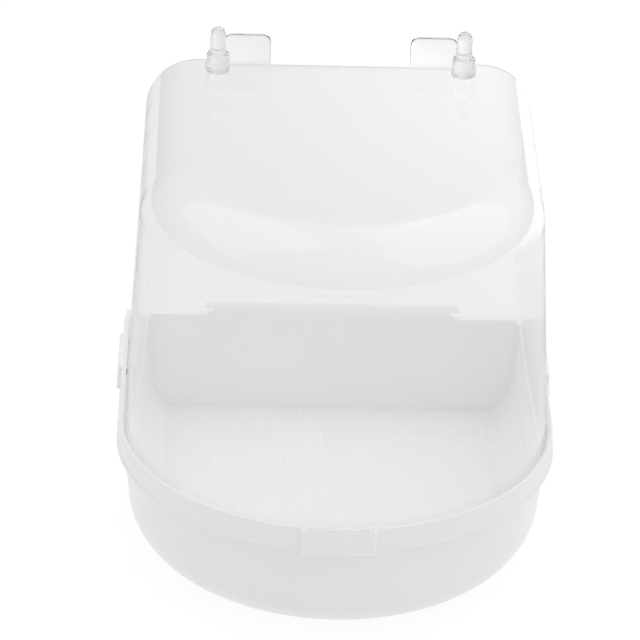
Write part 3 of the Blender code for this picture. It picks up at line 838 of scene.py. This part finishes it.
def lip_ends():
    """Where the lip slopes down before it reaches the back face."""
    points = [(LIP_END[0], RIM_TOP + BEYOND), (LIP_END[0], RIM_TOP), (LIP_END[1], BACK_WALL_TOP),
              (BEYOND, BACK_WALL_TOP), (BEYOND, RIM_TOP + BEYOND)]
    outline = eased(points, [0, 2.0, 2.0, 0, 0])
    return prism("lip_ends", outline, -2 * RIM_HALF, 2 * RIM_HALF, "X")


rooms = [shift(pocket_room(is_open), *place)
         for is_open, place in zip((True, False, False), pocket_places())]
for cutter in (seat_channel(), together("rooms", rooms), over_back_wall(), lip_ends()):
    combine(basin, cutter, "DIFFERENCE")
print("with seat and lip:", len(basin.data.vertices), "points")

# %% [markdown]
# ## The T hook and the underside
#
# The bath hangs from the cage door: the back wall grows into a wide T that curls backwards over the
# door's sill wire. Its side view is pushed along the width and clipped to its front view. The
# underside has a flat foot ring round a shallow recess, with the stub of the moulding gate in the
# middle.

# %% Hook and foot
HOOK_CURL = radians(55.0)
HOOK_RADIUS = 2.6
HOOK_STEPS = 8
HOOK_LOW = 37.0              # the hook's shape starts inside the wall, at this height
HOOK_PROUD = 0.02            # its faces stand this far off the wall's, so that they join cleanly
FOOT_RING = 4.0
FOOT_BACK = 7.0              # the recess keeps this far off the back face
RECESS = 2.1
GATE = ((0, 1.5), (0.9, 1.5), (1.2, 1.8), (1.6, 2.6), (0, 2.6))      # half outline of the stub


def hook_side():
    """Side view: the back wall's thickness curling backwards over its top, with a round end."""
    outer = HOOK_RADIUS + BACK_WALL + HOOK_PROUD
    inner = HOOK_RADIUS - HOOK_PROUD
    turns = [HOOK_CURL * i / HOOK_STEPS for i in range(HOOK_STEPS + 1)]
    front = [(HOOK_RADIUS - outer * cos(a), BACK_WALL_TOP + outer * sin(a)) for a in turns]
    rear = [(HOOK_RADIUS - inner * cos(a), BACK_WALL_TOP + inner * sin(a)) for a in reversed(turns)]
    points = [(front[0][0], HOOK_LOW)] + front + rear + [(rear[-1][0], HOOK_LOW)]
    radii = [0] * len(front) + [0.55, 0.28] + [0] * len(rear)
    return eased(points, radii, steps=5)


def hook_front():
    """Front view: a T with leaning ends and eased corners."""
    top = BACK_WALL_TOP + (HOOK_RADIUS + BACK_WALL) * sin(HOOK_CURL)
    ear = BACK_WALL_TOP + 2.3
    points = [(41.12, HOOK_LOW), (41.12, BACK_WALL_TOP), (40.48, ear), (44.12, ear),
              (43.4, top - 0.7), (42.7, top), (42.7, top + BEYOND)]
    outline = points + [(-x, z) for x, z in reversed(points)]
    radii = [0, 0.3, 0.5, 0.6, 0.5, 0.4, 0]
    return eased(outline, radii + radii[::-1], steps=4)


def back_hook():
    """The side view pushed along the width and clipped to the front view."""
    hook = prism("hook", hook_side(), -RIM_HALF, RIM_HALF, "X")
    front = prism("hook_front", hook_front(), -BACK_WALL - BEYOND, BEYOND, "Y")
    return combine(hook, front, "INTERSECT")


def underside():
    """The recess inside the foot ring, eased at its top."""
    inset = wall_inset(0.0, BOTTOM_ROUND) + FOOT_RING
    levels = [(0.5, -BEYOND), (0.0, 0.0), (0.0, RECESS - 0.3), (0.3, RECESS)]
    sections = [(d_outline(inset + more, -FOOT_BACK - more), z) for more, z in levels]
    return loft("underside", sections)


def gate_stub():
    """The stub where the melt came in, in the middle of the underside."""
    return shift(revolve("gate_stub", GATE, 32), 0, -STRAIGHT + 5.0)


combine(basin, underside(), "DIFFERENCE")
combine(basin, together("hook_and_gate", [back_hook(), gate_stub()]), "UNION")
basin.name = "basin_shell"
settle(basin, satin, "basin", "basin_tray", 28)

# %% [markdown]
# ## The hood's shell
#
# The hood is one clear sheet, bent round the front and over the roof, with its back left open. It
# is worked out as two skins, an outer and an inner one, that stay one wall apart. A narrow band
# with eased edges joins them all round the border. A sheet made like this has clean, even faces,
# which matters more in clear plastic than anywhere else: light shows every fold.

# %% Two skins and a border
HOOD_WALL = 1.5
ROOF_Z = 133.4
ROOF_ROUND = 17.5
SIDE_DRAFT = 0.060
FRONT_DRAFT = 0.145
WALL_STEPS = 6
SHOULDER_STEPS = 28
BORDER = 0.3                 # easing along the border


def hood_levels(wall):
    """(side inset, front inset, height) of a skin from its lower edge to the flat of the roof."""
    shoulder = ROOF_Z - ROOF_ROUND
    radius = ROOF_ROUND - wall
    heights = [HOOD_LOW.z + BORDER]
    heights += [RIM_TOP + (shoulder - RIM_TOP) * i / WALL_STEPS for i in range(WALL_STEPS)]
    levels = [(z, wall) for z in heights]
    levels += [(shoulder + radius * sin(a), wall + radius * (1 - cos(a)))
               for a in quarter(SHOULDER_STEPS)]
    levels.append((shoulder + radius, wall + radius + 1.0))
    out = []
    for z, extra in levels:
        climb = min(max(0.0, z - RIM_TOP), shoulder - RIM_TOP)
        inset = HOOD_INSET + extra
        out.append((inset + climb * SIDE_DRAFT, inset + climb * FRONT_DRAFT, z))
    return out


def hood_skin(bm, wall):
    """One skin as rows of points, with its roof closed."""
    rows = []
    for side, front, z in hood_levels(wall):
        rows.append([bm.verts.new((x, y, z)) for x, y in d_outline(side, -BORDER, front)])
    for low, high in zip(rows, rows[1:]):
        for i in range(len(low) - 1):
            bm.faces.new((low[i], low[i + 1], high[i + 1], high[i]))
    bm.faces.new(rows[-1])
    return rows


def border_of(rows):
    """The points along the border of a skin, each with the direction out of the sheet."""
    down = Vector((0, 0, -1))
    rear = Vector((0, 1, 0))
    bottom = [(v, down) for v in rows[0][1:-1]]
    left = [(row[-1], rear) for row in rows[1:]]
    right = [(row[0], rear) for row in reversed(rows[1:])]
    return [(rows[0][0], down + rear)] + bottom + [(rows[0][-1], down + rear)] + left + right


def hood_shell():
    """The closed sheet."""
    bm = bmesh.new()
    outer, inner = [border_of(hood_skin(bm, wall)) for wall in (0.0, HOOD_WALL)]
    outside, inside, first, last = [], [], [], []
    for (o, way), (i, _) in zip(outer, inner):
        across = (i.co - o.co).normalized() * BORDER
        outside.append(o)
        inside.append(i)
        first.append(bm.verts.new(o.co + across + way * BORDER))
        last.append(bm.verts.new(i.co - across + way * BORDER))
    skin(bm, [outside, first, last, inside])
    return new_object("hood_shell", bm)


hood = hood_shell()
print("hood sheet:", len(hood.data.vertices), "points")

# %% [markdown]
# ## Plates, tongues and holes
#
# Two upright plates stand on the roof's back edge, which is cut back between them. A cage wire is
# held between each plate and its peg. The plates' edges are rounded on both faces, so they draw a
# soft outline. The tongues on the lower edge are wedges that reach into the pockets.

# %% Plates, tongues, notch and holes
PLATE_INNER = 22.9
PLATE_OUTER = 38.4
PLATE_FRONT = -3.6
PLATE_THICKNESS = 1.8
PLATE_CORNER = 3.3
PLATE_EDGE = 0.75
TONGUE_HALF = 9.45
TONGUE_FACE = 1.6            # height of its upright face, under the slope
TONGUE_HEIGHT = 3.2
NOTCH_DEPTH = 3.4
NOTCH_EASE = 0.2
NOTCH_LOW = ROOF_Z - 12.0    # the notches' cutters start at this height
PEG_SHANK = 3.8
HOLE_STEPS = 64
FIT = 0.3
PEG_X = (PEG_BOX[0].x + PEG_BOX[1].x) / 2 / MM
PEG_Y = (PEG_BOX[0].y + PEG_BOX[1].y) / 2 / MM - BACK_FACE
STAND_UP = Matrix(((1, 0, 0, 0), (0, 0, 1, 0), (0, 1, 0, 0), (0, 0, 0, 1)))


def plate_face(side, inset):
    """Front view of a plate: upright, with two round corners on top."""
    x0, x1 = sorted((PLATE_INNER * side, PLATE_OUTER * side))
    low, high = ROOF_Z - HOOD_WALL / 2, HOOD_HIGH.z - inset
    corner = PLATE_CORNER - inset
    points = [(x0 + inset, low), (x1 - inset, low), (x1 - inset, high), (x0 + inset, high)]
    return eased(points, [0, 0, corner, corner], steps=10)


def plate(side):
    """One upright plate, its edges rounded on both faces."""
    rounds = [(PLATE_EDGE * (1 - sin(a)), PLATE_EDGE * (1 - cos(a))) for a in quarter(4)]
    levels = rounds + [(inset, PLATE_THICKNESS - depth) for inset, depth in reversed(rounds)]
    body = loft("plate", [(plate_face(side, inset), depth) for inset, depth in levels])
    body.data.transform(Matrix.Translation((0, PLATE_FRONT * MM, 0)) @ STAND_UP)
    body.data.flip_normals()
    return body


def tongue():
    """One wedge on the lower edge, standing at the origin and pointing towards -Y."""
    low = HOOD_LOW.z
    root = HOOD_INSET + HOOD_WALL / 2
    points = [(root, low), (0.0, low), (0.0, low + TONGUE_FACE),
              (HOOD_INSET - FIT, low + TONGUE_HEIGHT), (root, low + TONGUE_HEIGHT)]
    outline = eased(points, [0, 0.3, 0.4, 0.2, 0], steps=3)
    return prism("tongue", outline, -TONGUE_HALF, TONGUE_HALF, "X")


def notches():
    """Steps in the roof's back edge: flush with the plates, and deeper and eased between them."""
    high = ROOF_Z + BEYOND
    back_y = PLATE_FRONT + PLATE_THICKNESS
    right = [(PLATE_OUTER, BEYOND), (PLATE_OUTER, back_y), (PLATE_INNER, back_y),
             (PLATE_INNER, BEYOND)]
    behind = [prism("notch", [(side * x, y) for x, y in right], NOTCH_LOW, high)
              for side in (-1, 1)]
    edge = [(-NOTCH_DEPTH - NOTCH_EASE * (1 - cos(a)), ROOF_Z - NOTCH_EASE * (1 - sin(a)))
            for a in quarter(4)]
    side_view = [(BEYOND, NOTCH_LOW), (-NOTCH_DEPTH, NOTCH_LOW)] + edge
    side_view += [(edge[-1][0], high), (BEYOND, high)]
    half = PLATE_INNER + 0.05
    return behind + [prism("deep_notch", side_view, -half, half, "X")]


def peg_hole(x):
    """Hole through the roof for a peg's shank."""
    radius = PEG_SHANK / 2 + FIT
    turns = [2 * pi * i / HOLE_STEPS for i in range(HOLE_STEPS)]
    outline = [(x + radius * cos(a), PEG_Y + radius * sin(a)) for a in turns]
    return prism("peg_hole", outline, ROOF_Z - HOOD_WALL - 1.0, ROOF_Z + 1.0)


for cutter in notches() + [together("peg_holes", [peg_hole(PEG_X), peg_hole(-PEG_X)])]:
    combine(hood, cutter, "DIFFERENCE")
tongues = [shift(tongue(), *place) for place in pocket_places()]
combine(hood, together("added", [plate(-1), plate(1)] + tongues), "UNION")
settle(hood, hood_plastic, "hood", "clear_hood", 30)

# %% [markdown]
# ## The two pegs
#
# A peg is turned in shape: a wide foot, a step, a slim stem that narrows upwards, and a round head
# that finds its way between the wires. Half of its outline, eased at each corner, is spun round the
# axis in many fine steps, because a clear round part shows each flat as a stripe.

# %% Pegs
PEG_HEAD = 2.5               # radius of the round head
PEG_STEPS = 96


def peg_profile():
    """Half outline of a peg over the roof's top face."""
    top = PEG_HIGH.z - ROOF_Z
    points = [(0, -HOOD_WALL), (PEG_SHANK / 2, -HOOD_WALL), (PEG_SHANK / 2, FIT), (4.05, FIT),
              (3.7, 6.4), (2.7, 7.4), (PEG_HEAD, top - PEG_HEAD)]
    outline = eased(points, [0, 0.2, 0.1, 0.5, 0.7, 0.6, 0])
    dome = [(PEG_HEAD * cos(a), top - PEG_HEAD + PEG_HEAD * sin(a)) for a in quarter(16)]
    return outline[:-1] + dome[:-1] + [(0, top)]


for name, x in (("left_peg", -PEG_X), ("right_peg", PEG_X)):
    peg = revolve(name, peg_profile(), PEG_STEPS)
    peg.data.transform(Matrix.Translation((0, 0, ROOF_Z * MM)))
    shift(peg, x, PEG_Y)
    settle(peg, peg_plastic, "hood", name.replace("peg", "wire_peg"), 32)
